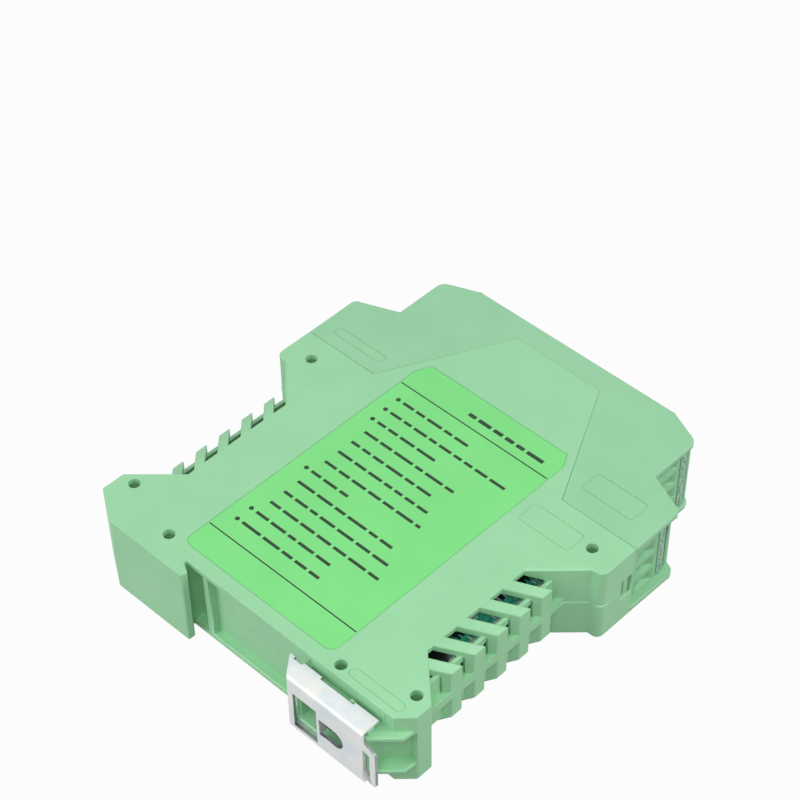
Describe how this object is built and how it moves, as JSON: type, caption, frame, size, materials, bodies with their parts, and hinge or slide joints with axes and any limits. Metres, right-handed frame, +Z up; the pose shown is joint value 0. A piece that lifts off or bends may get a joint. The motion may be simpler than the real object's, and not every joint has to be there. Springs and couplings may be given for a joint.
{
  "type": "signal isolator module",
  "caption": "Green signal isolator module for a 35 mm rail, with louvred sides, stepped screw terminals and a sprung metal rail latch.",
  "frame": {"origin": "middle of the box around the part in X and Y, on the flat side it lies on", "axes": "+X from the rail to the front face, +Y towards the side of the fixed foot, +Z up through the width of the module"},
  "size_m": [0.1202, 0.106, 0.0225],
  "materials": {
    "case_plastic": "fine satin moulded polyamide",
    "terminal_plastic": "moulded polyamide",
    "marker_film": "pale printed film",
    "label_film": "smooth printed film",
    "nickel_plated_brass": "dull nickel plating",
    "zinc_plated_steel": "bright zinc plating",
    "tinned_brass": "tinned",
    "board_laminate": "solder mask over glass laminate",
    "zinc_plated_sheet": "bright zinc plating over rolled sheet",
    "passivated_wire": "yellow passivated spring wire",
    "ferrite": "dull sintered",
    "copper_winding": "tape over enamelled wire",
    "capacitor_sleeve": "shrunk sleeve",
    "chip_epoxy": "moulded epoxy"
  },
  "bodies": {
    "case": {"lower_half_shell": "case_plastic", "upper_half_shell": "case_plastic", "front_hood": "case_plastic", "terminal_block_lower_left": "terminal_plastic", "terminal_block_lower_right": "terminal_plastic", "terminal_block_upper_left": "terminal_plastic", "terminal_block_upper_right": "terminal_plastic", "marker_strip_lower_left": "marker_film", "marker_strip_lower_right": "marker_film", "marker_strip_upper_left": "marker_film", "marker_strip_upper_right": "marker_film", "clamp_cages": "nickel_plated_brass", "clamp_screws": "zinc_plated_steel", "terminal_leads": "tinned_brass", "main_board": "board_laminate", "side_label": "label_film", "latch_spring": "passivated_wire", "transformer_core": "ferrite", "transformer_winding": "copper_winding", "electrolytic_capacitors": "capacitor_sleeve", "chip_packages": "chip_epoxy", "power_inductor": "ferrite"},
    "latch": {"rail_latch": "zinc_plated_sheet"}
  },
  "joints": [
    {"name": "latch_slide", "type": "slide", "parent": "case", "child": "latch", "axis": [0, -1, 0], "range_m": [0, 0.0045], "stiffness_N_per_m": 600, "springref_m": -0.003, "deforming": ["latch_spring"]}
  ]
}
